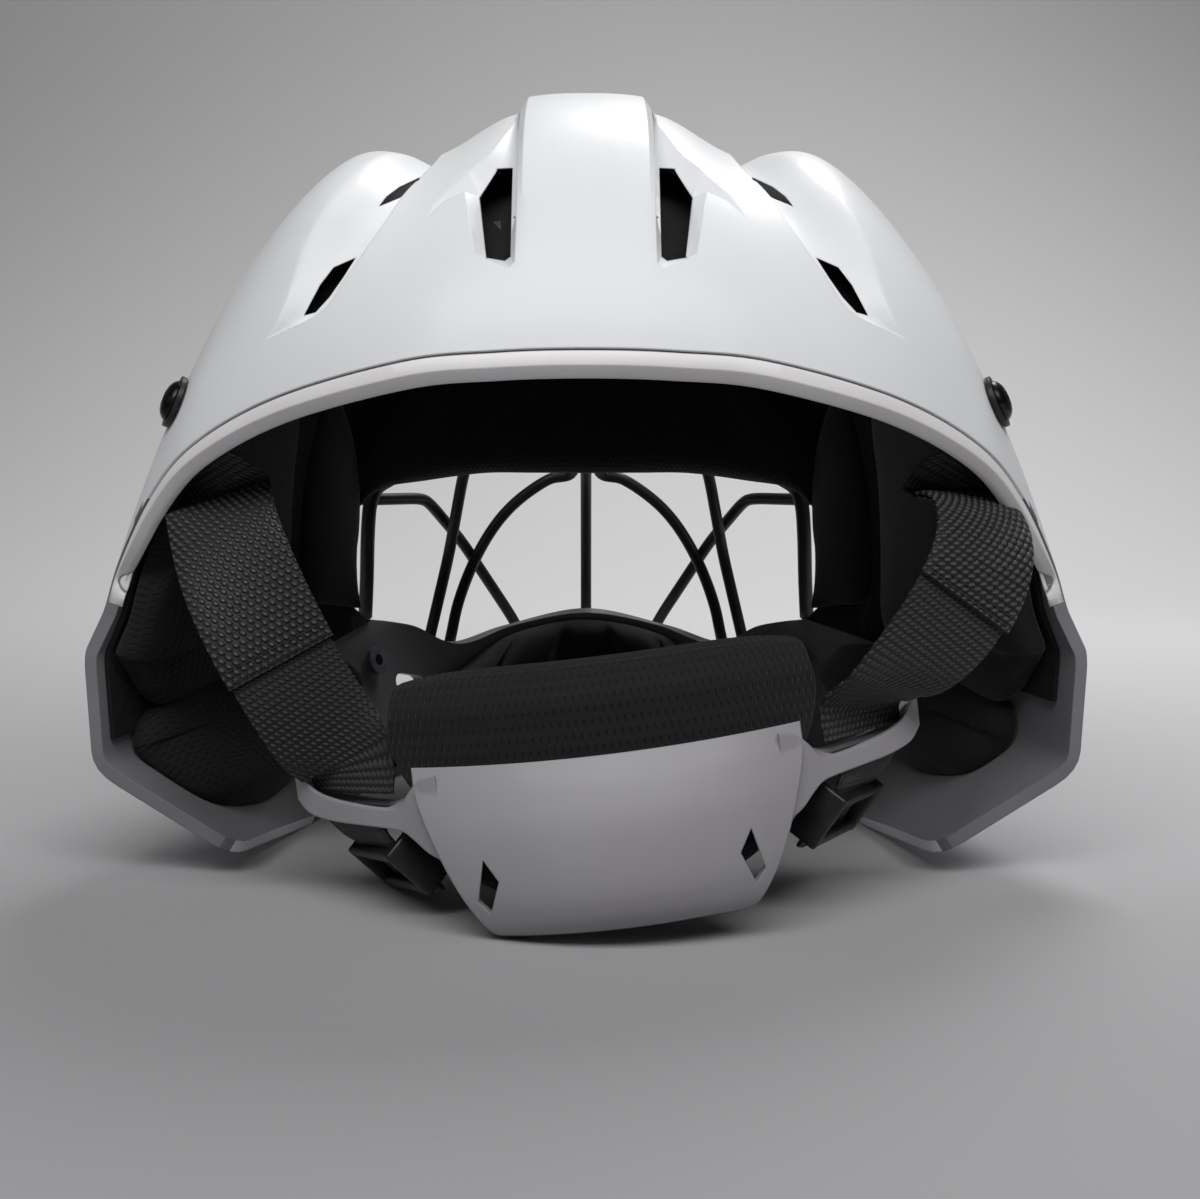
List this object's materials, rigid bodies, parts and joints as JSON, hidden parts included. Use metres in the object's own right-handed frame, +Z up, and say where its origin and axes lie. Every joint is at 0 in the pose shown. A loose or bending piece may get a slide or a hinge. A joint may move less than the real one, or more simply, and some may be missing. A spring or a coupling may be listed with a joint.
{
  "type": "baseball catcher helmet",
  "caption": "Full-head catcher helmet in gloss white with a fixed wire face cage, inner cushions and a padded back plate hung on two elastic straps.",
  "frame": {"origin": "on the floor in the middle plane, under the middle of the head space", "axes": "+Z up as the helmet stands on its jaw, +Y the side the wearer looks to, +X to the right seen from behind"},
  "size_m": [0.263, 0.3057, 0.2133],
  "materials": {
    "gloss_shell": "gloss",
    "edge_band": "satin",
    "liner_foam": "matt",
    "spacer_mesh": "matt",
    "pad_skin": "matt",
    "coated_wire": "satin",
    "black_plastic": "satin",
    "black_screw": "satin",
    "plain_nut": "satin",
    "elastic": "matt"
  },
  "bodies": {
    "helmet": {"shell": "gloss_shell", "rim_band": "edge_band", "crown_liner": "liner_foam", "forehead_pad": "spacer_mesh", "crown_pad": "spacer_mesh", "temple_pad_left": "pad_skin", "temple_pad_right": "pad_skin", "side_liner_left": "liner_foam", "side_liner_right": "liner_foam", "ear_pad_left": "spacer_mesh", "ear_pad_right": "spacer_mesh", "jaw_pad_left": "pad_skin", "jaw_pad_right": "pad_skin", "chin_pad": "pad_skin", "cage_frame": "coated_wire", "cage_chin": "coated_wire", "cage_center": "coated_wire", "cage_arc_left": "coated_wire", "cage_arc_right": "coated_wire", "cage_upright_left": "coated_wire", "cage_upright_right": "coated_wire", "cage_diagonal_left": "coated_wire", "cage_diagonal_right": "coated_wire", "cage_clips": "black_plastic", "cage_screws": "black_screw", "cage_nuts": "plain_nut", "anchor_screws": "black_screw", "anchor_washers": "black_plastic", "anchor_nuts": "plain_nut", "strap_end_left": "elastic", "strap_end_right": "elastic"},
    "straps": {"strap_left": "elastic", "strap_right": "elastic"},
    "plate": {"back_plate": "gloss_shell", "back_plate_pad": "spacer_mesh", "tail_left": "elastic", "tail_right": "elastic"},
    "buckle_left_body": {"buckle_left": "black_plastic"},
    "buckle_right_body": {"buckle_right": "black_plastic"}
  },
  "joints": [
    {"name": "strap_swing", "type": "hinge", "parent": "helmet", "child": "straps", "pos_m": [0, -0.0725, 0.103], "axis": [1, 0, 0], "range_deg": [-20, 0]},
    {"name": "plate_tilt", "type": "hinge", "parent": "straps", "child": "plate", "pos_m": [0.00529, -0.08763, 0.03755], "axis": [0.9925, 0, 0.1219], "range_deg": [-15, 0]},
    {"name": "buckle_left_slide", "type": "slide", "parent": "plate", "child": "buckle_left_body", "axis": [0.6918, 0.2007, -0.6936], "range_m": [-0.0005, 0.0015]},
    {"name": "buckle_right_slide", "type": "slide", "parent": "plate", "child": "buckle_right_body", "axis": [-0.5035, 0.2007, -0.8404], "range_m": [-0.0005, 0.0015]}
  ]
}
